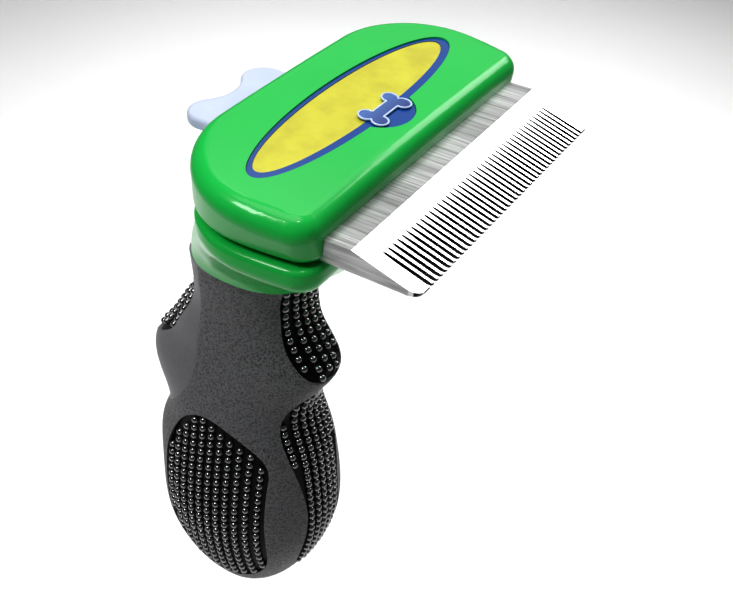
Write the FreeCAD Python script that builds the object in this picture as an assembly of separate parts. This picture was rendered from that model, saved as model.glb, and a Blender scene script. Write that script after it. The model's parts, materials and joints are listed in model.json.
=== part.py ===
"""Deshedding tool: a toothed stainless blade in a two-part head on a soft-grip handle.

Frame: origin in the middle of the grip, +Z up the handle, -Y the way the teeth point,
X across the blade. Millimetres. A button behind the head pushes a thin ejector plate
forward under the teeth, and two coil springs bring it back.
"""
import FreeCAD, Part
import math
import os

V = FreeCAD.Vector

# ---------------------------------------------------------------- driving dimensions
# Head plan
HEAD_FRONT_Y = -43.4
HEAD_REAR_Y = -11.3
HEAD_HALF_WIDTH = 38.6
SIDE_RADIUS = 70.0
FRONT_CORNER_RADIUS = 5.0
REAR_CORNER_RADIUS = 18.0
# The cover's sides lean outwards: extra half width at its bottom and per millimetre up
COVER_FLARE = -1.2
FLARE_RATE = 0.38
REAR_RADIUS_PER_FLARE = 1.5
# Head heights
CROWN_TOP_Z = 105.86
CROWN_TOP_Y = 78.0
CROWN_RADIUS = 1200.0
TOP_EDGE_RADIUS = 3.2
COVER_BOTTOM_Z = 90.05
ROOF_THICKNESS = 2.2
HOUSING_TOP_Z = 89.55
HOUSING_BOTTOM_Z = 83.6
WALL = 2.0
DECK_BOTTOM_Z = 88.3
DECK_TOP_Z = 89.8
# Badge on the cover: blue ring, yellow field, boss and bone emblem
BADGE_Z = (90.0, 110.0)
BADGE_HALF_LENGTH = 32.4
BADGE_HALF_DEPTH = 7.1
BADGE_Y = -28.4
BADGE_RECESS = 0.3
POCKET_DEPTH = 1.4
POCKET_WALL = 1.4
FIELD_HALF_LENGTH = 30.4
FIELD_HALF_DEPTH = 5.8
FIELD_Y = -27.9
BOSS_Y = -32.1
BOSS_RADIUS = 7.5
BONE_Y = -34.2
BONE_HALF_LENGTH = 3.7
BONE_KNOB_RADIUS = 1.55
BONE_KNOB_SPREAD = 1.4
BONE_SHAFT_HALF_WIDTH = 1.2
# Blade
BLADE_TOP_Z = 95.0
BLADE_BOTTOM_Z = 90.6
BLADE_WIDTH = 67.0
BLADE_REAR_Y = -30.0
BEVEL_TOP_Y = -48.6
TOOTH_TIP_Y = -61.3
TIP_THICKNESS = 0.45
SLOT_COUNT = 42
SLOT_PITCH = 1.444
SLOT_ROOT_Y = -51.8
SLOT_TIP_HALF_WIDTH = 0.46
# Ejector: plate, carriage and button
TRAVEL = 9.0
PLATE_TOP_Z = 90.55
PLATE_THICKNESS = 0.7
PLATE_FRONT_Y = -51.6
PLATE_HALF_WIDTH = 32.5
PLATE_NECK_HALF_WIDTH = 25.8
PLATE_SHOULDER_Y = -31.0
CARRIAGE_REAR_Y = HEAD_REAR_Y - WALL - 0.3
CARRIAGE_FRONT_Y = CARRIAGE_REAR_Y - 6.6
CARRIAGE_TOP_Z = 94.1
CARRIAGE_HALF_WIDTH = 23.0
RIVET_XS = (-18.0, 0.0, 18.0)
RIVET_Y = CARRIAGE_REAR_Y - 4.3
TONGUE_HALF_WIDTH = 11.2
TONGUE_FRONT_Y = CARRIAGE_REAR_Y - 2.9
TONGUE_Z = (91.6, 93.2)
BUTTON_TOP_Z = 93.75
BUTTON_THICKNESS = 2.6
BUTTON_PIN_X = 7.0
BUTTON_PIN_Y = CARRIAGE_REAR_Y - 1.5
LOBE_X = 8.4
LOBE_Y = -0.7
LOBE_RADIUS = 4.6
DIP_Y = 0.8
BUTTON_WINDOW_HALF_WIDTH = 13.6
# Return springs and their guide pins
SPRING_X = 12.0
SPRING_Z = 96.4
SPRING_START_Y = -39.4
SPRING_MEAN_RADIUS = 1.1
SPRING_WIRE_RADIUS = 0.2
SPRING_TURNS = 12
GUIDE_PIN_RADIUS = 0.65
GUIDE_PIN_START_Y = -41.1
# Screws
SHANK_RADIUS = 1.2
SHANK_CLEARANCE = 0.03
SCREW_HEAD_RADIUS = 2.3
SCREW_HEAD_HEIGHT = 1.7
HEAD_RECESS_CLEARANCE = 0.25
HEAD_SCREW_SEAT_Z = 85.4
BLADE_SCREW_TOP_Z = 98.0
DOWEL_Z = (84.4, 98.6)
BLADE_SCREW_AT = (28.6, -36.5)
COVER_DOWEL_AT = (31.6, -24.0)
NECK_SCREW_YS = (-12.5, -4.5)
HANDLE_SCREW_ZS = (36.0, 6.0, -24.0)
HANDLE_SCREW_REACH = 9.0
# Handle: height, front y, rear y, half width of each oval section
HANDLE_SECTIONS = [
    (70.0, -18.6, 9.4, 14.4),
    (65.0, -18.6, 9.4, 14.4),
    (60.0, -18.3, 9.4, 14.2),
    (54.5, -17.4, 9.3, 13.5),
    (49.0, -16.9, 9.4, 12.9),
    (41.0, -18.6, 13.7, 12.3),
    (36.0, -21.6, 16.9, 12.6),
    (31.0, -24.4, 20.2, 13.0),
    (25.0, -21.2, 23.9, 13.9),
    (17.0, -18.6, 21.2, 14.8),
    (7.0, -20.9, 20.6, 16.5),
    (-5.0, -22.7, 22.4, 18.6),
    (-17.0, -23.3, 22.2, 19.5),
    (-29.0, -20.8, 20.0, 18.0),
    (-39.0, -15.4, 14.0, 14.4),
    (-45.0, -9.6, 8.6, 9.9),
    (-47.8, -5.0, 4.4, 5.3),
    (-48.7, -1.4, 0.9, 1.2),
]
SECTION_POWER = 2.3
SKIN_THICKNESS = 2.2
PAD_SEAT_DEPTH = 1.7
PAD_TOP_DEPTH = 0.9
CORE_WALL = 2.5
CORE_SPLIT_Y = -3.0
GRIP_TOP_Z = 58.8
# Collar under the head: height, front y, rear y, half width
COLLAR_SECTIONS = [
    (85.2, -40.6, -13.2, 34.2),
    (79.0, -40.0, -4.2, 31.0),
    (74.0, -37.4, 0.6, 26.2),
    (69.0, -33.2, 4.6, 21.3),
    (64.0, -28.6, 7.4, 17.3),
    (61.5, -26.0, 8.3, 15.9),
    (59.0, -24.0, 9.0, 15.0),
]
# Spigot of the handle inside the collar: front y, rear y, half width
SPIGOT_SECTION = (-15.6, 3.4, 12.4)
SPIGOT_TOP_Z = 69.0
SOCKET_CLEARANCE = 0.15
SOCKET_WALL = 2.0
NECK_SEAT_Z = 71.5
# Outlines of the rubber pads and the rear saddle: (x, z) on front and rear, (y, z) on the sides
FAR = 60.0
FINGER_PAD = [(0, 62.5), (5.4, 60.5), (6.9, 54), (7.2, 46), (7.4, 38), (6.6, 33.2), (3.6, 30.6), (0, 30.0)]
THUMB_PAD = [(0, 62.5), (7.0, 60.5), (8.9, 53), (9.4, 44), (9.2, 36), (8.0, 29.5), (4.5, 25.8), (0, 25.0)]
FRONT_PALM_PAD = [
    (0, 25.2), (4.9, 24.0), (7.9, 19.3), (9.0, 12.5), (8.5, 3.5), (7.0, -6.0), (6.7, -13.0), (7.6, -21.0),
    (7.4, -29.0), (4.6, -35.2), (0, -37.2)]
REAR_PALM_PAD = [
    (0, 4.0), (5.2, 2.0), (8.6, -4.5), (8.8, -13.0), (8.0, -23.0), (6.2, -31.5), (3.2, -36.2), (0, -37.4)]
SIDE_PALM_PAD = [
    (-15.6, 2.6), (-14.2, 7.6), (-10.2, 11.4), (-4.6, 14.5), (1.4, 15.7), (6.3, 13.6), (10.4, 8.6),
    (13.2, 1.5), (14.4, -8.0), (13.8, -18.0), (10.6, -27.5), (4.6, -34.4), (-2.4, -37.0), (-9.4, -35.2),
    (-14.2, -29.8), (-15.9, -21.0), (-15.6, -12.0), (-15.5, -4.0)]
SADDLE = [
    (1.9, 66.0), (1.9, 54.0), (2.9, 44.0), (4.2, 33.0), (4.9, 26.5), (7.2, 21.0), (11.6, 15.2), (16.0, 10.5),
    (22.0, 7.5), (34.0, 6.5), (46.0, 20.0), (48.0, 44.0), (44.0, 66.0), (24.0, 74.0)]


# ---------------------------------------------------------------- shared shapes
def box(x, y, z):
    """Box between the two values of each of x, y and z."""
    solid = Part.makeBox(x[1] - x[0], y[1] - y[0], z[1] - z[0])
    solid.translate(V(x[0], y[0], z[0]))
    return solid


def post(x, y, z, radius):
    """Upright cylinder between the two heights in z."""
    return Part.makeCylinder(radius, z[1] - z[0], V(x, y, z[0]))


def mirrored(shape):
    """The same shape on the other side of the middle plane."""
    return shape.mirror(V(0, 0, 0), V(1, 0, 0))


def pair(shape):
    """The shape and its mirror image as one group."""
    return [shape, mirrored(shape)]


def fuse_all(shapes):
    """One shape from several that touch or overlap."""
    return shapes[0].multiFuse(shapes[1:]).removeSplitter()


def cut_all(shape, tools):
    """The shape with every tool taken away."""
    for tool in tools:
        shape = shape.cut(tool)
    return shape


def fillet_at(shape, radius, keep):
    """Rounds the edges for which keep(edge) is true."""
    solid = shape.Solids[0]
    edges = [edge for edge in solid.Edges if keep(edge)]
    return solid.makeFillet(radius, edges).Solids[0]


def arc(centre, radius, start_deg, end_deg, z):
    """Circular arc at height z, from one angle to another."""
    angles = [math.radians(a) for a in (start_deg, (start_deg + end_deg) / 2, end_deg)]
    points = [V(centre[0] + radius * math.cos(a), centre[1] + radius * math.sin(a), z) for a in angles]
    return Part.Arc(*points)


def head_plan(inset, z, flare=0.0):
    """Plan of the head at height z, moved inwards by inset and widened at each side by flare."""
    half_width = HEAD_HALF_WIDTH + flare
    rear_radius = REAR_CORNER_RADIUS + REAR_RADIUS_PER_FLARE * flare
    widest_y = HEAD_REAR_Y - rear_radius
    side_x = half_width - SIDE_RADIUS
    corner_y = HEAD_FRONT_Y + FRONT_CORNER_RADIUS
    reach = SIDE_RADIUS - FRONT_CORNER_RADIUS
    turn = math.degrees(math.asin((widest_y - corner_y) / reach))
    corner_x = side_x + reach * math.cos(math.radians(turn))
    rear_x = half_width - rear_radius
    front = (corner_x, corner_y)
    rear = (rear_x, widest_y)
    half = [
        arc(front, FRONT_CORNER_RADIUS - inset, -90, -turn, z),
        arc((side_x, widest_y), SIDE_RADIUS - inset, -turn, 0, z),
        arc(rear, rear_radius - inset, 0, 90, z),
    ]
    edges = [curve.toShape() for curve in half]
    left = [edge.mirror(V(0, 0, 0), V(1, 0, 0)) for edge in edges]
    front_y = HEAD_FRONT_Y + inset
    rear_y = HEAD_REAR_Y - inset
    edges.append(Part.LineSegment(V(-corner_x, front_y, z), V(corner_x, front_y, z)).toShape())
    edges.append(Part.LineSegment(V(-rear_x, rear_y, z), V(rear_x, rear_y, z)).toShape())
    return Part.Wire(Part.__sortEdges__(edges + left))


def head_slab(inset, z):
    """The head's plan, inset, as a solid between two heights."""
    return Part.Face(head_plan(inset, z[0])).extrude(V(0, 0, z[1] - z[0]))


def cover_slab(inset, z):
    """The cover's plan, inset, between two heights, with its sides leaning outwards."""
    flares = [COVER_FLARE + FLARE_RATE * (height - COVER_BOTTOM_Z) for height in z]
    wires = [head_plan(inset, height, flare) for height, flare in zip(z, flares)]
    return Part.makeLoft(wires, True, True)


def crown(drop):
    """Large ball whose surface is the head's crowned, forward-sloping top, lowered by drop."""
    centre = V(0, CROWN_TOP_Y, CROWN_TOP_Z - CROWN_RADIUS)
    ball = Part.makeSphere(CROWN_RADIUS - drop, centre, V(0, 1, 0))
    ball.rotate(centre, V(0, 1, 0), 90)
    return ball


def spline_wire(points):
    """Smooth closed wire through the points."""
    curve = Part.BSplineCurve()
    curve.interpolate(points, PeriodicFlag=True)
    return Part.Wire(curve.toShape())


def even_spline_wire(points):
    """Smooth closed wire whose points are evenly spaced in its parameter, for lofting."""
    count = len(points)
    curve = Part.BSplineCurve()
    curve.interpolate(Points=points, PeriodicFlag=True, Parameters=[k / count for k in range(count + 1)])
    return Part.Wire(curve.toShape())


def oval_section(z, front_y, rear_y, half_width, offset=0.0, count=28):
    """Closed oval, between a circle and a rounded box, moved inwards by offset."""
    middle = (front_y + rear_y) / 2
    depth = (rear_y - front_y) / 2 - offset
    width = half_width - offset
    points = []
    for k in range(count):
        a = 2 * math.pi * k / count
        c, s = math.cos(a), math.sin(a)
        x = width * math.copysign(abs(c) ** (2 / SECTION_POWER), c)
        y = depth * math.copysign(abs(s) ** (2 / SECTION_POWER), s)
        points.append(V(x, middle + y, z))
    return even_spline_wire(points)


def handle_body(offset):
    """The whole handle's shape, moved inwards by offset."""
    wires = []
    for z, front_y, rear_y, half_width in reversed(HANDLE_SECTIONS):
        smallest = min(half_width, (rear_y - front_y) / 2)
        if smallest > offset + 0.6:
            wires.append(oval_section(z + offset * end_share(z), front_y, rear_y, half_width, offset))
    return Part.makeLoft(wires, True, False)


def end_share(z):
    """How much of an inward offset also lifts a section: all of it at the handle's two ends."""
    return 1.0 if z < -44 or z > 60 else 0.0


def side_prism(outline, x):
    """Prism along X from a smooth closed outline of (y, z) points."""
    wire = spline_wire([V(x[0], y, z) for y, z in outline])
    return Part.Face(wire).extrude(V(x[1] - x[0], 0, 0))


def front_prism(outline, y):
    """Prism along Y from a smooth closed outline of (x, z) points."""
    wire = spline_wire([V(px, y[0], z) for px, z in outline])
    return Part.Face(wire).extrude(V(0, y[1] - y[0], 0))


def symmetric(half):
    """Outline of (x, z) points from its right half, listed top to bottom."""
    return half + [(-x, z) for x, z in reversed(half) if x > 0]


# ---------------------------------------------------------------- badge
def ellipse_slab(half_length, half_depth, y, z):
    """Elliptical slab between two heights."""
    curve = Part.Ellipse(V(0, y, z[0]), half_length, half_depth)
    return Part.Face(Part.Wire(curve.toShape())).extrude(V(0, 0, z[1] - z[0]))


def badge_slab(grow, z):
    """Outer plan of the badge, with its round boss, grown by grow."""
    oval = ellipse_slab(BADGE_HALF_LENGTH + grow, BADGE_HALF_DEPTH + grow, BADGE_Y, z)
    boss = post(0, BOSS_Y, z, BOSS_RADIUS + grow)
    return oval.fuse(boss).removeSplitter()


def top_layer(slab, drop):
    """The part of a slab between the pocket's floor and the crowned surface lowered by drop."""
    return slab.common(crown(drop)).cut(crown(POCKET_DEPTH))


def badge_rim():
    """Blue ring round the badge, with the boss that carries the emblem."""
    rim = top_layer(badge_slab(-0.1, BADGE_Z), BADGE_RECESS)
    field = ellipse_slab(FIELD_HALF_LENGTH, FIELD_HALF_DEPTH, FIELD_Y, BADGE_Z)
    return cut_all(rim, [field, bone_slab(0.05)])


def badge_field():
    """Yellow oval plate inside the ring."""
    inset = 0.05
    slab = ellipse_slab(FIELD_HALF_LENGTH - inset, FIELD_HALF_DEPTH - inset, FIELD_Y, BADGE_Z)
    return top_layer(slab, BADGE_RECESS + 0.15).cut(bone_slab(0.05))


def bone_slab(grow):
    """Plain bone silhouette, grown by grow: a shaft with two knobs at each end."""
    shaft = box(
        (-BONE_HALF_LENGTH, BONE_HALF_LENGTH),
        (BONE_Y - BONE_SHAFT_HALF_WIDTH - grow, BONE_Y + BONE_SHAFT_HALF_WIDTH + grow), BADGE_Z)
    knobs = []
    for sx in (-1, 1):
        for sy in (-1, 1):
            at = (sx * (BONE_HALF_LENGTH + 0.3), BONE_Y + sy * BONE_KNOB_SPREAD)
            knobs.append(post(*at, BADGE_Z, BONE_KNOB_RADIUS + grow))
    return fuse_all([shaft] + knobs)


def badge_emblem():
    """Bone-shaped emblem, standing a little above the ring."""
    return top_layer(bone_slab(0.0), BADGE_RECESS - 0.35)


# ---------------------------------------------------------------- head
def blade_window():
    """Space that the blade and ejector plate take up in the head's front."""
    half = BLADE_WIDTH / 2 + 0.12
    z = (HOUSING_TOP_Z - 0.6, BLADE_TOP_Z + 0.05)
    return box((-half, half), (HEAD_FRONT_Y - 2, BLADE_REAR_Y + 0.2), z)


def button_window():
    """Space that the button slides through at the head's rear."""
    half = BUTTON_WINDOW_HALF_WIDTH
    return box((-half, half), (HEAD_REAR_Y - 4.5, HEAD_REAR_Y + 2), (HOUSING_TOP_Z, BUTTON_TOP_Z + 0.25))


def top_cover():
    """Green top shell: walls, crowned top, badge pocket, screw bosses and spring ribs."""
    outer = cover_slab(0, (COVER_BOTTOM_Z, CROWN_TOP_Z)).common(crown(0))
    outer = fillet_at(outer, TOP_EDGE_RADIUS, lambda e: e.BoundBox.ZMin > BLADE_TOP_Z)
    outer = fillet_at(outer, 2.4, lambda e: e.BoundBox.ZMax < COVER_BOTTOM_Z + 0.01)
    cavity = cover_slab(WALL, (COVER_BOTTOM_Z - 1, CROWN_TOP_Z)).common(crown(ROOF_THICKNESS))
    cavity = fillet_at(cavity, 1.6, lambda e: e.BoundBox.ZMin > BLADE_TOP_Z)
    seat = badge_slab(POCKET_WALL, BADGE_Z).cut(crown(POCKET_DEPTH + 0.8))
    shell = outer.cut(cavity.cut(seat))
    pocket = badge_slab(0, BADGE_Z).cut(crown(POCKET_DEPTH))
    bosses = pair(post(*COVER_DOWEL_AT, (COVER_BOTTOM_Z - 0.2, CROWN_TOP_Z), 3.0))
    bosses += pair(post(*BLADE_SCREW_AT, (BLADE_TOP_Z + 0.02, CROWN_TOP_Z), 3.2))
    bosses += pair(box((SPRING_X - 3, SPRING_X + 3), (-41.6, -39.5), (BLADE_TOP_Z + 0.05, CROWN_TOP_Z)))
    shell = shell.multiFuse([boss.common(crown(POCKET_DEPTH + 0.1)) for boss in bosses])
    hole_radius = SHANK_RADIUS + SHANK_CLEARANCE
    holes = pair(post(*COVER_DOWEL_AT, (COVER_BOTTOM_Z - 1, DOWEL_Z[1] + 0.1), hole_radius))
    holes += pair(post(*BLADE_SCREW_AT, (BLADE_TOP_Z - 1, BLADE_SCREW_TOP_Z + 0.1), hole_radius))
    pin_hole = Part.makeCylinder(
        GUIDE_PIN_RADIUS + 0.02, 1.8, V(SPRING_X, GUIDE_PIN_START_Y - 0.1, SPRING_Z), V(0, 1, 0))
    tools = [pocket, blade_window(), button_window()] + holes + pair(pin_hole)
    return cut_all(shell, tools)


def collar_body(inset):
    """Outside of the collar that runs from the head down to the neck."""
    wires = []
    for z, front_y, rear_y, half_width in reversed(COLLAR_SECTIONS):
        lift = 2.0 if inset and z > HOUSING_BOTTOM_Z else 0.0
        wires.append(oval_section(z + lift, front_y, rear_y, half_width, inset))
    return Part.makeLoft(wires, True, False)


def neck_socket(offset, z):
    """The spigot's oval, moved inwards by offset, as a straight solid between two heights."""
    wire = oval_section(z[0], *SPIGOT_SECTION, offset)
    return Part.Face(wire).extrude(V(0, 0, z[1] - z[0]))


def lower_housing():
    """Green lower shell with the collar, as one hollow moulding open at the top and at the neck."""
    slab = head_slab(0, (HOUSING_BOTTOM_Z, HOUSING_TOP_Z))
    slab = fillet_at(slab, 3.6, lambda e: e.BoundBox.ZMax < HOUSING_BOTTOM_Z + 0.01)
    slab = fillet_at(slab, 1.2, lambda e: e.BoundBox.ZMin > HOUSING_TOP_Z - 0.01)
    outside = slab.fuse(collar_body(0))
    floor_z = HOUSING_BOTTOM_Z + 2.2
    tray = head_slab(3.6, (floor_z, HOUSING_TOP_Z + 1))
    seat = head_slab(2.8, (DECK_BOTTOM_Z, HOUSING_TOP_Z + 1))
    hole_radius = SHANK_RADIUS + SHANK_CLEARANCE
    towers = []
    for at in (BLADE_SCREW_AT, COVER_DOWEL_AT):
        towers += pair(post(*at, (HOUSING_BOTTOM_Z, DECK_BOTTOM_Z), 3.8))
    holes = pair(post(*BLADE_SCREW_AT, (HOUSING_BOTTOM_Z, HOUSING_TOP_Z + 2), hole_radius))
    head_radius = SCREW_HEAD_RADIUS + HEAD_RECESS_CLEARANCE
    holes += pair(post(*BLADE_SCREW_AT, (GRIP_TOP_Z, HEAD_SCREW_SEAT_Z), head_radius))
    holes += pair(post(*COVER_DOWEL_AT, (DOWEL_Z[0] - 0.1, HOUSING_TOP_Z + 2), hole_radius))
    for y in NECK_SCREW_YS:
        holes.append(post(0, y, (SPIGOT_TOP_Z - 1, NECK_SEAT_Z + 1), hole_radius))
    tube = neck_socket(-SOCKET_CLEARANCE - SOCKET_WALL, (GRIP_TOP_Z - 2, NECK_SEAT_Z))
    below = box((-FAR, FAR), (-FAR, FAR), (0, COLLAR_SECTIONS[-1][0] + 3))
    hollow = cut_all(collar_body(2.4), [tube, below] + towers)
    body = cut_all(outside, [tray.cut(fuse_all(towers)), seat, hollow])
    socket = neck_socket(-SOCKET_CLEARANCE, (GRIP_TOP_Z - 2, SPIGOT_TOP_Z + SOCKET_CLEARANCE))
    return cut_all(body, [socket] + holes).removeSplitter()


def slide_deck():
    """Flat plate in the housing's mouth that the ejector plate runs on."""
    deck = head_slab(2.95, (DECK_BOTTOM_Z + 0.02, DECK_TOP_Z))
    holes = pair(post(*BLADE_SCREW_AT, (80, 95), SHANK_RADIUS + SHANK_CLEARANCE))
    holes += pair(post(*COVER_DOWEL_AT, (80, 95), SHANK_RADIUS + SHANK_CLEARANCE))
    return cut_all(deck, holes)


def pan_screw(x, y, seat_z, top_z):
    """Pan-head screw, head down, with a cross recess, its shank reaching up to top_z."""
    head = Part.makeCylinder(SCREW_HEAD_RADIUS, SCREW_HEAD_HEIGHT, V(x, y, seat_z - SCREW_HEAD_HEIGHT))
    head = fillet_at(head, 0.6, lambda e: e.BoundBox.ZMax < seat_z - SCREW_HEAD_HEIGHT + 0.01)
    shank = post(x, y, (seat_z - 0.2, top_z), SHANK_RADIUS)
    low = seat_z - SCREW_HEAD_HEIGHT
    cross = [
        box((x - 1.3, x + 1.3), (y - 0.25, y + 0.25), (low - 0.1, low + 0.8)),
        box((x - 0.25, x + 0.25), (y - 1.3, y + 1.3), (low - 0.1, low + 0.8)),
    ]
    return cut_all(head.fuse(shank), cross)


def blade_screws():
    """Two screws that clamp housing, deck, spacer, blade and cover together."""
    return pair(pan_screw(*BLADE_SCREW_AT, HEAD_SCREW_SEAT_Z, BLADE_SCREW_TOP_Z))


def cover_dowels():
    """Two dowels that locate the cover on the housing at the head's rear corners."""
    return pair(post(*COVER_DOWEL_AT, DOWEL_Z, SHANK_RADIUS))


def neck_screws():
    """Two screws from inside the collar down into the handle's spigot."""
    screws = []
    for y in NECK_SCREW_YS:
        screw = pan_screw(0, 0, 0, 10.5)
        screw.rotate(V(0, 0, 0), V(1, 0, 0), 180)
        screw.translate(V(0, y, NECK_SEAT_Z))
        screws.append(screw)
    return screws


# ---------------------------------------------------------------- blade and ejector
def comb_blade():
    """Thick blade, flat on top, with a long bevel cut into teeth."""
    half = BLADE_WIDTH / 2
    tip_z = BLADE_BOTTOM_Z + TIP_THICKNESS
    profile = [
        V(-half, BLADE_REAR_Y, BLADE_BOTTOM_Z), V(-half, TOOTH_TIP_Y + 0.35, BLADE_BOTTOM_Z),
        V(-half, TOOTH_TIP_Y, tip_z - 0.2), V(-half, TOOTH_TIP_Y + 0.15, tip_z + 0.1),
        V(-half, BEVEL_TOP_Y, BLADE_TOP_Z), V(-half, BLADE_REAR_Y, BLADE_TOP_Z),
    ]
    profile.append(profile[0])
    body = Part.Face(Part.makePolygon(profile)).extrude(V(BLADE_WIDTH, 0, 0))
    plan = box((-half, half), (TOOTH_TIP_Y - 1, BLADE_REAR_Y), (BLADE_BOTTOM_Z - 1, BLADE_TOP_Z + 1))
    plan = fillet_at(plan, 2.4, lambda e: e.BoundBox.ZLength > 5 and e.BoundBox.YMax < TOOTH_TIP_Y)
    plan.translate(V(0, 0.99, 0))
    body = body.common(plan)
    first = -SLOT_PITCH * (SLOT_COUNT - 1) / 2
    slots = [tooth_slot(first + SLOT_PITCH * k) for k in range(SLOT_COUNT)]
    body = body.cut(Part.makeCompound(slots))
    holes = pair(post(*BLADE_SCREW_AT, (80, 100), SHANK_RADIUS + SHANK_CLEARANCE))
    return cut_all(body, holes)


def tooth_slot(x):
    """One slot between teeth: a sharp root that widens towards the tips."""
    w = SLOT_TIP_HALF_WIDTH
    outline = [
        (0.0, SLOT_ROOT_Y), (0.62 * w, SLOT_ROOT_Y - 0.9), (0.9 * w, SLOT_ROOT_Y - 2.8),
        (w, TOOTH_TIP_Y + 0.4), (w + 0.1, TOOTH_TIP_Y - 0.1), (w + 0.1, TOOTH_TIP_Y - 1.2),
    ]
    right = [V(x + dx, y, BLADE_BOTTOM_Z - 1) for dx, y in outline]
    left = [V(x - dx, y, BLADE_BOTTOM_Z - 1) for dx, y in reversed(outline) if dx > 0]
    wire = Part.makePolygon(right + left + [right[0]])
    return Part.Face(wire).extrude(V(0, 0, BLADE_TOP_Z - BLADE_BOTTOM_Z + 2))


def blade_spacers():
    """Two washers that hold the blade just clear of the ejector plate."""
    washer = post(*BLADE_SCREW_AT, (DECK_TOP_Z, BLADE_BOTTOM_Z), 2.2)
    washer = washer.cut(post(*BLADE_SCREW_AT, (80, 95), SHANK_RADIUS + SHANK_CLEARANCE))
    return pair(washer)


def ejector_plate():
    """Thin steel plate under the blade that pushes hair off the teeth."""
    z = (PLATE_TOP_Z - PLATE_THICKNESS, PLATE_TOP_Z)
    wide = box((-PLATE_HALF_WIDTH, PLATE_HALF_WIDTH), (PLATE_FRONT_Y, PLATE_SHOULDER_Y), z)
    wide = fillet_at(wide, 2.2, lambda e: e.BoundBox.ZLength > 0.5 and e.BoundBox.YMax < PLATE_FRONT_Y + 0.1)
    neck_y = (PLATE_SHOULDER_Y - 1, CARRIAGE_REAR_Y - 0.3)
    narrow = box((-PLATE_NECK_HALF_WIDTH, PLATE_NECK_HALF_WIDTH), neck_y, z)
    narrow = fillet_at(narrow, 4.5, lambda e: e.BoundBox.ZLength > 0.5 and e.BoundBox.YMin > neck_y[1] - 0.1)
    plate = wide.fuse(narrow).removeSplitter()
    x, y = BLADE_SCREW_AT
    reach = TRAVEL + 0.3
    slot = box((x - 2.35, x + 2.35), (y - 0.3, y + reach), (z[0] - 1, z[1] + 1))
    slot = slot.multiFuse([post(x, end, (z[0] - 1, z[1] + 1), 2.35) for end in (y - 0.3, y + reach)])
    rivet_holes = [post(rx, RIVET_Y, (z[0] - 1, z[1] + 1), 1.02) for rx in RIVET_XS]
    return cut_all(plate, pair(slot) + rivet_holes)


def ejector_rivets():
    """Three rivets, flush under the plate and domed on the carriage."""
    rivets = []
    for x in RIVET_XS:
        shank = post(x, RIVET_Y, (PLATE_TOP_Z - PLATE_THICKNESS, CARRIAGE_TOP_Z), 1.0)
        dome = Part.makeSphere(2.4, V(x, RIVET_Y, CARRIAGE_TOP_Z - 1.75))
        dome = dome.common(post(x, RIVET_Y, (CARRIAGE_TOP_Z, CARRIAGE_TOP_Z + 1), 1.64))
        rivets.append(shank.fuse(dome).removeSplitter())
    return rivets


def slider_carriage():
    """Moulded block behind the blade that joins button, plate and springs."""
    half = CARRIAGE_HALF_WIDTH
    y = (CARRIAGE_FRONT_Y, CARRIAGE_REAR_Y)
    block = box((-half, half), y, (PLATE_TOP_Z, CARRIAGE_TOP_Z))
    block = fillet_at(block, 1.0, lambda e: e.BoundBox.ZLength > 3)
    tower = box((SPRING_X - 2.3, SPRING_X + 2.3), y, (CARRIAGE_TOP_Z - 0.5, SPRING_Z + 1.3))
    body = block.multiFuse(pair(tower))
    bore_start = V(SPRING_X, CARRIAGE_FRONT_Y - 0.5, SPRING_Z)
    bore = Part.makeCylinder(GUIDE_PIN_RADIUS + 0.1, 8.0, bore_start, V(0, 1, 0))
    mouth = box(
        (-TONGUE_HALF_WIDTH - 0.1, TONGUE_HALF_WIDTH + 0.1), (TONGUE_FRONT_Y - 0.1, CARRIAGE_REAR_Y + 1),
        (TONGUE_Z[0] - 0.1, TONGUE_Z[1] + 0.1))
    rivet_holes = [post(x, RIVET_Y, (85, CARRIAGE_TOP_Z + 1), 1.02) for x in RIVET_XS]
    pin_holes = pair(post(BUTTON_PIN_X, BUTTON_PIN_Y, (85, CARRIAGE_TOP_Z + 1), 0.82))
    return cut_all(body, pair(bore) + [mouth] + rivet_holes + pin_holes)


def button_pins():
    """Two pins that lock the button's tongue in the carriage."""
    return pair(post(BUTTON_PIN_X, BUTTON_PIN_Y, (PLATE_TOP_Z + 0.1, CARRIAGE_TOP_Z), 0.8))


def eject_button():
    """Translucent push button with two thumb lobes and an inner tongue."""
    z = BUTTON_TOP_Z - BUTTON_THICKNESS
    inner_y = CARRIAGE_REAR_Y + 0.25
    side_x = LOBE_X + LOBE_RADIUS
    rise = DIP_Y - LOBE_Y
    dip_radius = (LOBE_X ** 2 + rise ** 2 - LOBE_RADIUS ** 2) / (2 * (LOBE_RADIUS - rise))
    turn = math.degrees(math.atan2(rise + dip_radius, -LOBE_X))
    lobe = arc((LOBE_X, LOBE_Y), LOBE_RADIUS, 0, turn, z).toShape()
    dip = arc((0, DIP_Y + dip_radius), dip_radius, turn - 180, -turn, z).toShape()
    corners = [V(side_x, LOBE_Y, z), V(side_x, inner_y, z), V(-side_x, inner_y, z), V(-side_x, LOBE_Y, z)]
    sides = [Part.LineSegment(p, q).toShape() for p, q in zip(corners, corners[1:])]
    edges = Part.__sortEdges__(pair(lobe) + [dip] + sides)
    pad = Part.Face(Part.Wire(edges)).extrude(V(0, 0, BUTTON_THICKNESS))
    pad = fillet_at(pad, 0.8, lambda e: e.BoundBox.ZLength < 0.01 and e.BoundBox.YMax > inner_y + 1)
    tongue = box((-TONGUE_HALF_WIDTH, TONGUE_HALF_WIDTH), (TONGUE_FRONT_Y, inner_y + 1), TONGUE_Z)
    holes = pair(post(BUTTON_PIN_X, BUTTON_PIN_Y, (85, 100), 0.82))
    return cut_all(pad.fuse(tongue).removeSplitter(), holes)


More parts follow.
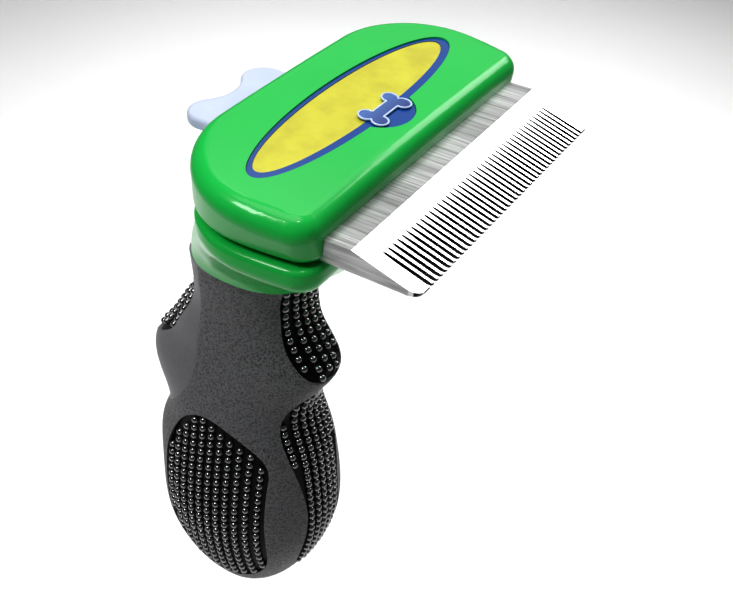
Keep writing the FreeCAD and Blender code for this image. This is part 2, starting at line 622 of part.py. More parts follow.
def return_spring():
    """Coil spring between the cover's rib and the carriage."""
    length = CARRIAGE_FRONT_Y - 0.1 - SPRING_START_Y - 2 * SPRING_WIRE_RADIUS
    helix = Part.makeHelix(length / SPRING_TURNS, length, SPRING_MEAN_RADIUS)
    circle = Part.Circle(V(SPRING_MEAN_RADIUS, 0, 0), V(0, 1, 0), SPRING_WIRE_RADIUS)
    coil = Part.Wire(helix.Edges).makePipeShell([Part.Wire(circle.toShape())], True, True)
    coil.rotate(V(0, 0, 0), V(1, 0, 0), -90)
    coil.translate(V(SPRING_X, SPRING_START_Y + SPRING_WIRE_RADIUS, SPRING_Z))
    return coil


def spring_guide_pins():
    """Two steel pins pressed in the cover's ribs, inside the springs."""
    length = CARRIAGE_FRONT_Y - 1.5 - GUIDE_PIN_START_Y
    pin = Part.makeCylinder(GUIDE_PIN_RADIUS, length, V(SPRING_X, GUIDE_PIN_START_Y, SPRING_Z), V(0, 1, 0))
    return pair(pin)


# ---------------------------------------------------------------- handle
def pad_prisms():
    """The space of each rubber pad, as a prism through the handle's surface."""
    return {
        "finger_pad": front_prism(symmetric(FINGER_PAD), (-FAR, -4)),
        "thumb_pad": front_prism(symmetric(THUMB_PAD), (FAR, -2)),
        "palm_pad_front": front_prism(symmetric(FRONT_PALM_PAD), (-FAR, -4)),
        "palm_pad_rear": front_prism(symmetric(REAR_PALM_PAD), (FAR, 2)),
        "palm_pad_right": side_prism(SIDE_PALM_PAD, (5, FAR)),
        "palm_pad_left": side_prism(SIDE_PALM_PAD, (-5, -FAR)),
    }


def handle_parts():
    """Grip skin, smooth rear saddle, the six pads and the two halves of the core."""
    outer = handle_body(0)
    core = handle_body(SKIN_THICKNESS)
    seat = handle_body(PAD_SEAT_DEPTH)
    pad_top = handle_body(PAD_TOP_DEPTH)
    above = box((-FAR, FAR), (-FAR, FAR), (GRIP_TOP_Z, 2 * FAR))
    prisms = pad_prisms()
    saddle_prism = side_prism(SADDLE, (-FAR, FAR))
    parts = {}
    for name, prism in prisms.items():
        parts[name] = cut_all(prism.common(pad_top), [seat, above])
    shell = outer.cut(core).cut(above)
    recesses = [prism.cut(seat) for prism in prisms.values()]
    shell = cut_all(shell, recesses)
    spigot = neck_socket(0, (GRIP_TOP_Z - 1.8, SPIGOT_TOP_Z))
    parts["thumb_saddle"] = shell.common(saddle_prism).cut(spigot)
    parts["grip_skin"] = shell.cut(saddle_prism).cut(spigot)
    whole = core.cut(box((-FAR, FAR), (-FAR, FAR), (GRIP_TOP_Z - 1, 2 * FAR))).fuse(spigot)
    hollow = handle_body(SKIN_THICKNESS + CORE_WALL)
    hollow = hollow.cut(box((-FAR, FAR), (-FAR, FAR), (GRIP_TOP_Z - 1, 2 * FAR)))
    hollow = hollow.fuse(neck_socket(CORE_WALL, (GRIP_TOP_Z - 1.8, SPIGOT_TOP_Z - CORE_WALL)))
    tubes, holes = [], []
    for z in HANDLE_SCREW_ZS:
        tubes.append(Part.makeCylinder(3.4, 2 * FAR, V(0, -FAR, z), V(0, 1, 0)))
        seat = V(0, handle_screw_seat(z), z)
        reach = CORE_SPLIT_Y + HANDLE_SCREW_REACH + 0.5 - seat.y
        holes.append(Part.makeCylinder(SHANK_RADIUS + SHANK_CLEARANCE, reach, seat, V(0, 1, 0)))
        holes.append(Part.makeCylinder(SCREW_HEAD_RADIUS + HEAD_RECESS_CLEARANCE, FAR, seat, V(0, -1, 0)))
    for y in NECK_SCREW_YS:
        tubes.append(post(0, y, (SPIGOT_TOP_Z - 13, SPIGOT_TOP_Z - 2), 3.2))
        holes.append(post(0, y, (SPIGOT_TOP_Z - 12, SPIGOT_TOP_Z + 1), SHANK_RADIUS + SHANK_CLEARANCE))
    hollow = cut_all(hollow, tubes)
    whole = cut_all(whole.cut(hollow), holes)
    front_side = box((-FAR, FAR), (-FAR, CORE_SPLIT_Y), (-FAR, 2 * FAR))
    rear_side = box((-FAR, FAR), (CORE_SPLIT_Y, FAR), (-FAR, 2 * FAR))
    parts["handle_core_front"] = whole.common(front_side)
    parts["handle_core_rear"] = whole.common(rear_side)
    return parts


def handle_screw_seat(z):
    """Where the head of the handle screw at height z sits, inside the front of the core."""
    rows = HANDLE_SECTIONS
    for upper, lower in zip(rows, rows[1:]):
        if lower[0] <= z <= upper[0]:
            share = (upper[0] - z) / (upper[0] - lower[0])
            return upper[1] + share * (lower[1] - upper[1]) + SKIN_THICKNESS + 3.4
    return rows[0][1]


def handle_screws():
    """Three screws that pull the rear half of the core onto the front half."""
    screws = []
    for z in HANDLE_SCREW_ZS:
        seat_y = handle_screw_seat(z)
        screw = pan_screw(0, 0, 0, CORE_SPLIT_Y + HANDLE_SCREW_REACH - seat_y)
        screw.rotate(V(0, 0, 0), V(1, 0, 0), -90)
        screw.translate(V(0, seat_y, z))
        screws.append(screw)
    return screws


# ---------------------------------------------------------------- export
def build_all():
    """Every node of the tool, by name."""
    parts = {
        "top_cover": top_cover(), "lower_housing": lower_housing(), "slide_deck": slide_deck(),
        "badge_rim": badge_rim(), "badge_field": badge_field(), "badge_emblem": badge_emblem(),
        "comb_blade": comb_blade(), "blade_spacers": blade_spacers(), "blade_screws": blade_screws(),
        "cover_dowels": cover_dowels(), "neck_screws": neck_screws(), "handle_screws": handle_screws(),
        "ejector_plate": ejector_plate(), "ejector_rivets": ejector_rivets(),
        "slider_carriage": slider_carriage(), "button_pins": button_pins(), "eject_button": eject_button(),
        "return_spring_right": return_spring(), "return_spring_left": mirrored(return_spring()),
        "spring_guide_pins": spring_guide_pins(),
    }
    parts.update(handle_parts())
    return parts


def export(name, shape):
    """Writes one node's STEP file and prints what it holds."""
    solids = []
    for piece in shape if isinstance(shape, list) else [shape]:
        solids += piece.Solids
    body = solids[0] if len(solids) == 1 else Part.makeCompound(solids)
    body.exportStep(os.path.join("parts", name + ".step"))
    print(f"{name:22s} solids {len(solids)} valid {body.isValid()} volume {body.Volume:9.1f} mm3")


os.makedirs("parts", exist_ok=True)
for node, node_shape in build_all().items():
    export(node, node_shape)
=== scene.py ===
"""Looks of the deshedding tool: nubs, emblem outline, materials, studio and camera.

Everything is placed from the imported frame, in metres, in the row frame:
+Z up the handle, -Y the way the teeth point, X across the blade.
"""
import json
import math

import bmesh
import bpy
from mathutils import Matrix, Vector
from mathutils.bvhtree import BVHTree


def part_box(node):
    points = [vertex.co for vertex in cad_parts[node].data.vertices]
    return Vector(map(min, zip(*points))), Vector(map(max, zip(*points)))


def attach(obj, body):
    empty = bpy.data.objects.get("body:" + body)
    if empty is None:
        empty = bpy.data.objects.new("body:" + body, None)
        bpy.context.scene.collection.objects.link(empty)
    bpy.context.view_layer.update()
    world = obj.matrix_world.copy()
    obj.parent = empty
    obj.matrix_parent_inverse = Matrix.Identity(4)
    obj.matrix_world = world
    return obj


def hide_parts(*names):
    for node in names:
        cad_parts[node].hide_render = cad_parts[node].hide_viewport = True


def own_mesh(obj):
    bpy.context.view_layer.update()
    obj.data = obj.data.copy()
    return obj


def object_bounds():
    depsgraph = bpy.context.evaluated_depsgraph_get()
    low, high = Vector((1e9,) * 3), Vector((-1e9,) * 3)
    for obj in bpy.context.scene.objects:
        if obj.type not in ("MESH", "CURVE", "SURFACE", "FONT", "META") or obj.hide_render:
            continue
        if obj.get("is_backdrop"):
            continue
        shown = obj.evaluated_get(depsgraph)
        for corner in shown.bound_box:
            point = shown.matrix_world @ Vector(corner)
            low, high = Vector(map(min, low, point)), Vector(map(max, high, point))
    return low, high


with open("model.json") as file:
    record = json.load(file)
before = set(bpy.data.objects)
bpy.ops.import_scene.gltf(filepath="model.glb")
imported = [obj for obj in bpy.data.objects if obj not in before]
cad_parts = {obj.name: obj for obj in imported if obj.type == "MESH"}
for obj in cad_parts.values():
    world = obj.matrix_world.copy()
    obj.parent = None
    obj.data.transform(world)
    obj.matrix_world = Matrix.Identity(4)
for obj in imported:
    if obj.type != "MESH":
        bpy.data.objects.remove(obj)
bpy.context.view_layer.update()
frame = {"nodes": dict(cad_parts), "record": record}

NODES = frame["nodes"]
RECORD = frame["record"]
MM = 0.001

# ---------------------------------------------------------------- nubs
NUB_RADIUS = 0.92 * MM
NUB_NECK = 0.25 * MM
NUB_ROOT = 0.6 * MM
NUB_SEGMENTS = 16
NUB_RINGS = 6
NUB_EDGE_GAP = 1.15 * MM
NUB_LEAN = 0.7
RAY_START = 0.2
STEEPEST_FACING = 0.12
# pad node: direction it faces, spacing across, spacing up
PADS = {
    "finger_pad": ((0, -1, 0), 2.75 * MM, 2.1 * MM),
    "thumb_pad": ((0, 1, 0), 2.6 * MM, 2.1 * MM),
    "palm_pad_front": ((0, -1, 0), 2.5 * MM, 2.15 * MM),
    "palm_pad_rear": ((0, 1, 0), 2.5 * MM, 2.15 * MM),
    "palm_pad_right": ((1, 0, 0), 2.55 * MM, 2.25 * MM),
    "palm_pad_left": ((-1, 0, 0), 2.55 * MM, 2.25 * MM),
}


def world_tree(obj):
    """Ray-casting tree of a node whose vertices are already in the row frame."""
    return BVHTree.FromPolygons([v.co for v in obj.data.vertices], [p.vertices for p in obj.data.polygons])


def hit_from_outside(tree, point, facing):
    """Where a ray that comes in against facing first meets the pad's outer face."""
    start = point + facing * RAY_START
    place, normal, _, _ = tree.ray_cast(start, -facing)
    if place is None or normal.dot(facing) < STEEPEST_FACING:
        return None
    return place, normal


def nub_places(node, facing, across, up):
    """Centres and directions of the nubs on one pad, in upright columns."""
    tree = world_tree(NODES[node])
    low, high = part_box(node)
    side = Vector((0, 0, 1)).cross(facing)
    middle = (low + high) / 2
    half_width = abs((high - low).dot(side)) / 2
    columns = int(half_width / across)
    rows = int((high.z - low.z) / up) + 1
    probes = [Vector((0, 0, 1)), Vector((0, 0, -1)), side, -side]
    probes += [(a + b).normalized() for a in probes[:2] for b in probes[2:]]
    places = []
    for column in range(-columns, columns + 1):
        for row in range(rows):
            point = middle + side * (column * across)
            point.z = low.z + up * (row + 0.25 + 0.5 * (column % 2))
            found = hit_from_outside(tree, point, facing)
            if found is None:
                continue
            near = [hit_from_outside(tree, point + probe * NUB_EDGE_GAP, facing) for probe in probes]
            if any(other is None for other in near):
                continue
            place, normal = found
            places.append((place, (normal + facing * NUB_LEAN).normalized()))
    return places


def nub_profile():
    """Radius and height pairs of a nub, from its root in the pad to its tip."""
    rings = [(NUB_RADIUS, -NUB_ROOT), (NUB_RADIUS, NUB_NECK)]
    for k in range(1, NUB_RINGS):
        a = math.pi / 2 * k / NUB_RINGS
        rings.append((NUB_RADIUS * math.cos(a), NUB_NECK + NUB_RADIUS * math.sin(a)))
    return rings


def add_nubs(node, facing, across, up):
    """One mesh with all the nubs of a pad."""
    mesh = bmesh.new()
    profile = nub_profile()
    for place, direction in nub_places(node, Vector(facing), across, up):
        turn = direction.to_track_quat("Z", "Y").to_matrix().to_4x4()
        matrix = Matrix.Translation(place) @ turn
        rings = []
        for radius, height in profile:
            ring = []
            for k in range(NUB_SEGMENTS):
                a = 2 * math.pi * k / NUB_SEGMENTS
                point = Vector((radius * math.cos(a), radius * math.sin(a), height))
                ring.append(mesh.verts.new(matrix @ point))
            rings.append(ring)
        tip = mesh.verts.new(matrix @ Vector((0, 0, NUB_NECK + NUB_RADIUS)))
        for lower, upper in zip(rings, rings[1:]):
            for k in range(NUB_SEGMENTS):
                n = (k + 1) % NUB_SEGMENTS
                mesh.faces.new((lower[k], lower[n], upper[n], upper[k]))
        for k in range(NUB_SEGMENTS):
            mesh.faces.new((rings[-1][k], rings[-1][(k + 1) % NUB_SEGMENTS], tip))
        mesh.faces.new(list(reversed(rings[0])))
    return link_mesh(node + "_nubs", mesh)


def link_mesh(name, mesh):
    """Puts a finished bmesh in the scene, smooth, riding the tool body."""
    data = bpy.data.meshes.new(name)
    mesh.to_mesh(data)
    mesh.free()
    obj = bpy.data.objects.new(name, data)
    bpy.context.scene.collection.objects.link(obj)
    for polygon in data.polygons:
        polygon.use_smooth = True
    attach(obj, "tool")
    return obj


def add_coil(node):
    """A copy of a return spring with its own mesh, riding the tool body in place of the hidden CAD node.
    """
    mesh = bmesh.new()
    mesh.from_mesh(NODES[node].data)
    mesh.transform(NODES[node].matrix_world)
    coil = link_mesh(node + "_coil", mesh)
    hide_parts(node)
    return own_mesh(coil)


# ---------------------------------------------------------------- emblem outline, a pale line that paints the emblem's edge highlight
OUTLINE_RADIUS = 0.2 * MM
OUTLINE_SIDES = 8
OUTLINE_SPACING = 0.12 * MM
UPWARD = Vector((0, 0, 1))


def top_outline(node):
    """Closed loop of points round the top face of a node."""
    mesh = bmesh.new()
    mesh.from_mesh(NODES[node].data)
    bmesh.ops.remove_doubles(mesh, verts=mesh.verts, dist=1e-6)
    top = {f for f in mesh.faces if f.normal.z > 0.8}
    edges = [e for e in mesh.edges if len([f for f in e.link_faces if f in top]) == 1]
    links = {}
    for edge in edges:
        a, b = edge.verts
        links.setdefault(a, []).append(b)
        links.setdefault(b, []).append(a)
    first = next(iter(links))
    loop, previous, current = [first.co.copy()], None, first
    while True:
        following = [v for v in links[current] if v is not previous][0]
        if following is first:
            break
        loop.append(following.co.copy())
        previous, current = current, following
    mesh.free()
    return loop


def resample(loop, spacing):
    """The closed loop with evenly spaced points."""
    closed = loop + [loop[0]]
    lengths = [(b - a).length for a, b in zip(closed, closed[1:])]
    total = sum(lengths)
    count = max(12, int(total / spacing))
    points, walked, k = [], 0.0, 0
    for step in range(count):
        target = total * step / count
        while walked + lengths[k] < target:
            walked += lengths[k]
            k += 1
        points.append(closed[k].lerp(closed[k + 1], (target - walked) / max(lengths[k], 1e-12)))
    return points


def add_outline(node):
    """Raised rounded line along the edge of the node's top face."""
    points = resample(top_outline(node), OUTLINE_SPACING)
    mesh = bmesh.new()
    rings = []
    count = len(points)
    for k, point in enumerate(points):
        along = (points[(k + 1) % count] - points[k - 1]).normalized()
        out = along.cross(UPWARD).normalized()
        ring = []
        for s in range(OUTLINE_SIDES):
            a = 2 * math.pi * s / OUTLINE_SIDES
            offset = out * math.cos(a) + UPWARD * math.sin(a)
            ring.append(mesh.verts.new(point + offset * OUTLINE_RADIUS))
        rings.append(ring)
    for k in range(count):
        lower, upper = rings[k], rings[(k + 1) % count]
        for s in range(OUTLINE_SIDES):
            n = (s + 1) % OUTLINE_SIDES
            mesh.faces.new((lower[s], lower[n], upper[n], upper[s]))
    bmesh.ops.recalc_face_normals(mesh, faces=mesh.faces)
    return link_mesh(node + "_outline", mesh)


# ---------------------------------------------------------------- materials
def material(name, **values):
    """Principled material; returns it with its node tree and shader."""
    mat = bpy.data.materials.new(name)
    mat.use_nodes = True
    shader = mat.node_tree.nodes["Principled BSDF"]
    for key, value in values.items():
        shader.inputs[key.replace("_", " ")].default_value = value
    return mat, mat.node_tree, shader


def node_of(tree, kind, **values):
    """A shader node with some of its properties or inputs set."""
    node = tree.nodes.new(kind)
    for key, value in values.items():
        if key in node.inputs:
            node.inputs[key].default_value = value
        else:
            setattr(node, key, value)
    return node


def object_point(tree, scale=(1, 1, 1)):
    """Object coordinates, stretched by scale."""
    coordinates = node_of(tree, "ShaderNodeTexCoord")
    mapping = node_of(tree, "ShaderNodeMapping", Scale=scale)
    tree.links.new(coordinates.outputs["Object"], mapping.inputs["Vector"])
    return mapping.outputs["Vector"]


def noise(tree, point, scale, detail=3.0, roughness=0.5):
    """Noise value at a point."""
    node = node_of(tree, "ShaderNodeTexNoise", Scale=scale, Detail=detail, Roughness=roughness)
    tree.links.new(point, node.inputs["Vector"])
    return node.outputs["Fac"]


def ramp(tree, value, stops):
    """Colour ramp from (position, grey or colour) stops."""
    node = node_of(tree, "ShaderNodeValToRGB")
    elements = node.color_ramp.elements
    while len(elements) < len(stops):
        elements.new(0.5)
    for element, (position, colour) in zip(elements, stops):
        element.position = position
        element.color = (*((colour,) * 3 if isinstance(colour, float) else colour), 1)
    tree.links.new(value, node.inputs["Fac"])
    return node.outputs["Color"]


def bump(tree, shader, height, distance, strength=1.0):
    """Small relief on the shader's surface."""
    node = node_of(tree, "ShaderNodeBump", Distance=distance, Strength=strength)
    tree.links.new(height, node.inputs["Height"])
    tree.links.new(node.outputs["Normal"], shader.inputs["Normal"])
    tree.links.new(node.outputs["Normal"], shader.inputs["Coat Normal"])


def mix(tree, factor, a, b):
    """Mix of two colours by a factor socket."""
    node = node_of(tree, "ShaderNodeMix", data_type="RGBA")
    tree.links.new(factor, node.inputs["Factor"])
    for socket, value in ((node.inputs[6], a), (node.inputs[7], b)):
        if isinstance(value, tuple):
            socket.default_value = (*value, 1)
        else:
            tree.links.new(value, socket)
    return node.outputs[2]


def gloss_plastic(name, colour, roughness, shift=0.06, subsurface=0.0):
    """Moulded plastic with a faint colour drift and a clear gloss."""
    mat, tree, shader = material(
        name, Roughness=roughness, Specular_IOR_Level=0.15, Coat_Weight=0.35, Coat_Roughness=0.1,
        Subsurface_Weight=subsurface)
    shader.inputs["Subsurface Scale"].default_value = 1.5 * MM
    point = object_point(tree)
    drift = noise(tree, point, 35.0, 2.0)
    low = tuple(c * (1 - shift) for c in colour)
    high = tuple(min(1.0, c * (1 + shift)) for c in colour)
    tree.links.new(ramp(tree, drift, [(0.3, low), (0.7, high)]), shader.inputs["Base Color"])
    bump(tree, shader, noise(tree, point, 260.0, 2.0), 0.02 * MM, 0.5)
    return mat


def shell_green():
    """Green of the two head shells."""
    return gloss_plastic("shell_green", (0.012, 0.47, 0.075), 0.3, 0.05, 0.05)


def badge_blue():
    """Deep blue of the badge's rim and boss."""
    return gloss_plastic("badge_blue", (0.006, 0.06, 0.27), 0.22)


def emblem_blue():
    """Blue that lightens from the emblem's front to its rear."""
    mat, tree, shader = material("emblem_blue", Roughness=0.22, Coat_Weight=0.3, Coat_Roughness=0.05)
    low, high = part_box("badge_emblem")
    place = node_of(tree, "ShaderNodeSeparateXYZ")
    tree.links.new(object_point(tree), place.inputs["Vector"])
    along = node_of(tree, "ShaderNodeMapRange")
    along.inputs["From Min"].default_value = low.y
    along.inputs["From Max"].default_value = high.y
    tree.links.new(place.outputs["Y"], along.inputs["Value"])
    colour = ramp(tree, along.outputs["Result"], [
        (0.1, (0.008, 0.035, 0.2)), (0.9, (0.05, 0.14, 0.4)),
    ])
    tree.links.new(colour, shader.inputs["Base Color"])
    return mat


def painted_edge_highlight():
    """Pale line round the emblem: a painted highlight along the emblem's edge."""
    return gloss_plastic("painted_edge_highlight", (0.5, 0.62, 0.85), 0.25)


def badge_yellow():
    """Yellow field with soft, slightly greenish blotches."""
    mat, tree, shader = material("badge_yellow", Roughness=0.38, Coat_Weight=0.2, Coat_Roughness=0.15)
    point = object_point(tree)
    blotch = noise(tree, point, 150.0, 4.0, 0.6)
    colour = ramp(tree, blotch, [
        (0.34, (0.47, 0.44, 0.006)), (0.5, (0.54, 0.51, 0.008)), (0.66, (0.58, 0.56, 0.02)),
    ])
    tree.links.new(colour, shader.inputs["Base Color"])
    bump(tree, shader, blotch, 0.03 * MM, 0.5)
    return mat


# near-black colour of the painted shade on the walls between the teeth
SLOT_PAINTED_SHADE = (0.02, 0.02, 0.022)


def blade_steel():
    """Brushed flats with streaks running towards the teeth, a bright ground bevel, and painted shade on
    the walls between the teeth.
    """
    mat, tree, shader = material("blade_steel", Metallic=1.0)
    streaks = noise(tree, object_point(tree, (1.0, 0.02, 0.3)), 2600.0, 5.0, 0.65)
    bands = noise(tree, object_point(tree, (1.0, 0.05, 0.3)), 190.0, 2.0)
    fine = ramp(tree, streaks, [(0.32, 0.26), (0.68, 0.8)])
    broad = ramp(tree, bands, [(0.35, 0.66), (0.65, 1.0)])
    flat = node_of(tree, "ShaderNodeMix", data_type="RGBA", blend_type="MULTIPLY")
    flat.inputs["Factor"].default_value = 1.0
    tree.links.new(fine, flat.inputs[6])
    tree.links.new(broad, flat.inputs[7])
    normal = node_of(tree, "ShaderNodeTexCoord")
    split = node_of(tree, "ShaderNodeSeparateXYZ")
    tree.links.new(normal.outputs["Normal"], split.inputs["Vector"])
    slope = node_of(tree, "ShaderNodeMath", operation="MULTIPLY")
    slope.inputs[1].default_value = -1.0
    tree.links.new(split.outputs["Y"], slope.inputs[0])
    bevel = ramp(tree, slope.outputs["Value"], [(0.1, 0.0), (0.2, 1.0), (0.5, 1.0), (0.8, 0.0)])
    polished = mix(tree, bevel, flat.outputs[2], (0.93, 0.93, 0.94))
    # painted shade: the walls between the teeth are coloured near black
    tree.links.new(mix(tree, painted_slot_shade(tree, split), polished, SLOT_PAINTED_SHADE), shader.inputs["Base Color"])
    tree.links.new(ramp(tree, bevel, [(0.0, 0.36), (1.0, 0.22)]), shader.inputs["Roughness"])
    bump(tree, shader, streaks, 0.012 * MM, 0.35)
    return mat


def painted_slot_shade(tree, normal):
    """Mask of the painted shade: one on the walls between the teeth, which face sideways inside the
    blade's width.
    """
    sideways = node_of(tree, "ShaderNodeMath", operation="ABSOLUTE")
    tree.links.new(normal.outputs["X"], sideways.inputs[0])
    place = node_of(tree, "ShaderNodeSeparateXYZ")
    tree.links.new(object_point(tree), place.inputs["Vector"])
    off_middle = node_of(tree, "ShaderNodeMath", operation="ABSOLUTE")
    tree.links.new(place.outputs["X"], off_middle.inputs[0])
    inside = node_of(tree, "ShaderNodeMath", operation="LESS_THAN")
    inside.inputs[1].default_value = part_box("comb_blade")[1].x - 0.3 * MM
    tree.links.new(off_middle.outputs["Value"], inside.inputs[0])
    both = node_of(tree, "ShaderNodeMath", operation="MULTIPLY")
    tree.links.new(sideways.outputs["Value"], both.inputs[0])
    tree.links.new(inside.outputs["Value"], both.inputs[1])
    return ramp(tree, both.outputs["Value"], [(0.4, 0.0), (0.7, 1.0)])


def bright_steel():
    """Plain steel of screws, pins, rivets and springs."""
    mat, tree, shader = material("bright_steel", Metallic=1.0, Base_Color=(0.72, 0.72, 0.74, 1))
    wear = noise(tree, object_point(tree), 900.0, 3.0)
    tree.links.new(ramp(tree, wear, [(0.3, 0.16), (0.7, 0.3)]), shader.inputs["Roughness"])
    return mat


def matte_plastic(name, colour, roughness, grain, depth):
    """Plain moulded plastic with a fine etched surface."""
    mat, tree, shader = material(name, Roughness=roughness)
    point = object_point(tree)
    texture = noise(tree, point, grain, 3.0)
    low = tuple(c * 0.88 for c in colour)
    tree.links.new(ramp(tree, texture, [(0.3, low), (0.7, colour)]), shader.inputs["Base Color"])
    bump(tree, shader, texture, depth, 0.5)
    return mat


def inner_black():
    """Black moulded pieces inside the head."""
    return matte_plastic("inner_black", (0.025, 0.025, 0.026), 0.5, 1800.0, 0.03 * MM)


def core_grey():
    """Hard core of the handle."""
    return matte_plastic("core_grey", (0.05, 0.05, 0.053), 0.5, 1800.0, 0.03 * MM)


def saddle_grey():
    """Smooth rear of the grip."""
    return matte_plastic("saddle_grey", (0.165, 0.165, 0.177), 0.42, 900.0, 0.015 * MM)


def skin_grey():
    """Soft grip with a fine leathery grain."""
    mat, tree, shader = material("skin_grey", Roughness=0.5)
    point = object_point(tree)
    cells = node_of(tree, "ShaderNodeTexVoronoi", Scale=2100.0, feature="SMOOTH_F1")
    tree.links.new(point, cells.inputs["Vector"])
    wrinkles = noise(tree, point, 1700.0, 4.0, 0.62)
    grain = node_of(tree, "ShaderNodeMath", operation="ADD")
    tree.links.new(cells.outputs["Distance"], grain.inputs[0])
    tree.links.new(wrinkles, grain.inputs[1])
    colour = ramp(tree, grain.outputs["Value"], [
        (0.62, (0.045, 0.045, 0.047)), (1.2, (0.165, 0.165, 0.173)),
    ])
    tree.links.new(colour, shader.inputs["Base Color"])
    bump(tree, shader, grain.outputs["Value"], 0.42 * MM, 1.0)
    return mat


def pad_black():
    """Black gel rubber."""
    mat, tree, shader = material(
        "pad_black", Roughness=0.45, Specular_IOR_Level=0.12, Base_Color=(0.004, 0.004, 0.0045, 1))
    bump(tree, shader, noise(tree, object_point(tree), 1400.0, 3.0), 0.03 * MM, 0.4)
    return mat


def nub_black():
    """The pads' balls, polished by use."""
    mat, tree, shader = material(
        "nub_black", Roughness=0.18, Specular_IOR_Level=1.0, Coat_Weight=1.0, Coat_Roughness=0.12,
        Base_Color=(0.008, 0.008, 0.009, 1))
    shader.inputs["Coat IOR"].default_value = 2.3
    bump(tree, shader, noise(tree, object_point(tree), 1400.0, 3.0), 0.02 * MM, 0.3)
    return mat


def button_clear():
    """Frosted, slightly blue translucent plastic."""
    mat, tree, shader = material(
        "button_clear", Roughness=0.32, Subsurface_Weight=0.6, Transmission_Weight=0.25, IOR=1.46)
    shader.inputs["Subsurface Scale"].default_value = 4 * MM
    shader.inputs["Subsurface Radius"].default_value = (0.8, 0.9, 1.0)
    haze = noise(tree, object_point(tree), 120.0, 3.0)
    colour = ramp(tree, haze, [(0.3, (0.6, 0.66, 0.84)), (0.7, (0.67, 0.73, 0.9))])
    tree.links.new(colour, shader.inputs["Base Color"])
    return mat


# ---------------------------------------------------------------- assembly of the looks
def dress():
    """Gives every CAD node and every added piece its material."""
    makers = {
        "shell_green": shell_green, "badge_blue": badge_blue, "badge_yellow": badge_yellow,
        "emblem_blue": emblem_blue, "blade_steel": blade_steel, "bright_steel": bright_steel,
        "inner_black": inner_black, "button_clear": button_clear, "pad_black": pad_black,
        "saddle_grey": saddle_grey, "skin_grey": skin_grey, "core_grey": core_grey,
    }
    made = {slot: maker() for slot, maker in makers.items()}
    for part in RECORD["subparts"]:
        obj = NODES[part["node"]]
        obj.data.materials.clear()
        obj.data.materials.append(made[part["material_slot"]])
    polished = nub_black()
    for node, (facing, across, up) in PADS.items():
        add_nubs(node, facing, across, up).data.materials.append(polished)
    for node in ("return_spring_right", "return_spring_left"):
        add_coil(node).data.materials.append(made["bright_steel"])
    # the pale line round the emblem is a painted highlight along its edge
    add_outline("badge_emblem").data.materials.append(painted_edge_highlight())


# ---------------------------------------------------------------- studio
FLOOR_HALF_SIZE = 4.0
FLOOR_DROP = 0.3
WORLD_STRENGTH = 0.09
VIEW_GAMMA = 0.85
# name: direction, distance, size, power in watts, shift of the aim, spread in degrees
LAMPS = {
    "backdrop": ((0.28, 0.14, 0.95), 1.2, (0.9, 0.9), 3.0, (0.55, 0.3, -0.37), 70),
    "overhead": ((0.05, 0.1, 1.0), 1.1, (0.66, 0.66), 4.7, (0, 0, 0), 180),
    "left_key": ((-0.5, 0.3, 0.81), 1.0, (0.26, 0.26), 5.6, (0, 0, 0), 180),
    "right_box": ((0.78, -0.17, 0.6), 1.0, (0.42, 0.34), 3.4, (0, 0, 0), 180),
    "right_card": ((0.75, 0.42, 0.5), 1.0, (0.8, 0.6), 0.9, (0, 0, 0), 180),
    "small_key": ((-0.15, -0.22, 0.95), 1.0, (0.09, 0.09), 1.7, (0, 0, 0), 180),
}


def area_light(name, direction, distance, size, power, shift, spread):
    """Soft box that shines on the middle of the tool, or on a spot shifted from it."""
    low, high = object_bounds()
    aim = (Vector(low) + Vector(high)) / 2 + Vector(shift)
    data = bpy.data.lights.new(name, "AREA")
    data.shape = "RECTANGLE"
    data.size, data.size_y = size
    data.energy = power
    data.spread = math.radians(spread)
    light = bpy.data.objects.new(name, data)
    bpy.context.scene.collection.objects.link(light)
    away = Vector(direction).normalized()
    light.location = aim + away * distance
    light.rotation_euler = away.to_track_quat("Z", "Y").to_euler()


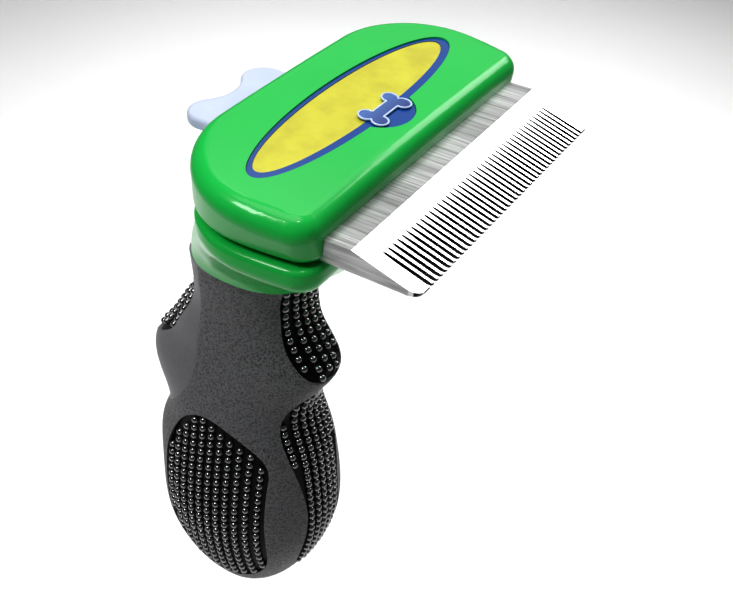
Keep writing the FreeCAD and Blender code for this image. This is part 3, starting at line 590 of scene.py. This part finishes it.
def studio():
    """Pale floor, dim white surroundings and soft boxes."""
    low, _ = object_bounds()
    mesh = bmesh.new()
    bmesh.ops.create_grid(mesh, x_segments=1, y_segments=1, size=FLOOR_HALF_SIZE)
    data = bpy.data.meshes.new("floor")
    mesh.to_mesh(data)
    mesh.free()
    floor = bpy.data.objects.new("floor", data)
    floor.location = (0, 0, low[2] - FLOOR_DROP)
    bpy.context.scene.collection.objects.link(floor)
    mat, tree, shader = material("floor_white", Roughness=0.9)
    tint = noise(tree, object_point(tree), 3.0)
    tree.links.new(ramp(tree, tint, [(0.3, 0.9), (0.7, 0.93)]), shader.inputs["Base Color"])
    data.materials.append(mat)
    floor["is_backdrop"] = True
    world = bpy.data.worlds.new("studio")
    world.use_nodes = True
    bpy.context.scene.world = world
    background = world.node_tree.nodes["Background"]
    background.inputs["Color"].default_value = (1, 1, 1, 1)
    background.inputs["Strength"].default_value = WORLD_STRENGTH
    settings = bpy.context.scene.view_settings
    settings.view_transform = "Standard"
    settings.gamma = VIEW_GAMMA
    for name, values in LAMPS.items():
        area_light(name, *values)


# ---------------------------------------------------------------- camera
CAMERA_AT = Vector((-151.13, -120.95, 194.04)) * MM
CAMERA_AZIMUTH = -59.57
CAMERA_ELEVATION = 38.25
CAMERA_ROLL = 2.67
CAMERA_LENS = 53.09


def camera():
    """Camera in front of the blade's left end, looking down at the head."""
    az, el, roll = (math.radians(a) for a in (CAMERA_AZIMUTH, CAMERA_ELEVATION, CAMERA_ROLL))
    look = Vector((-math.sin(az) * math.cos(el), math.cos(az) * math.cos(el), -math.sin(el)))
    right = Vector((math.cos(az), math.sin(az), 0))
    up = right.cross(look)
    rolled_right = right * math.cos(roll) + up * math.sin(roll)
    rolled_up = -right * math.sin(roll) + up * math.cos(roll)
    turn = Matrix((rolled_right, rolled_up, -look)).transposed().to_4x4()
    data = bpy.data.cameras.new("camera")
    data.sensor_fit = "HORIZONTAL"
    data.sensor_width = 36.0
    data.lens = CAMERA_LENS
    data.clip_start = 0.01
    obj = bpy.data.objects.new("camera", data)
    obj.matrix_world = Matrix.Translation(CAMERA_AT) @ turn
    bpy.context.scene.collection.objects.link(obj)
    bpy.context.scene.camera = obj


dress()
studio()
camera()
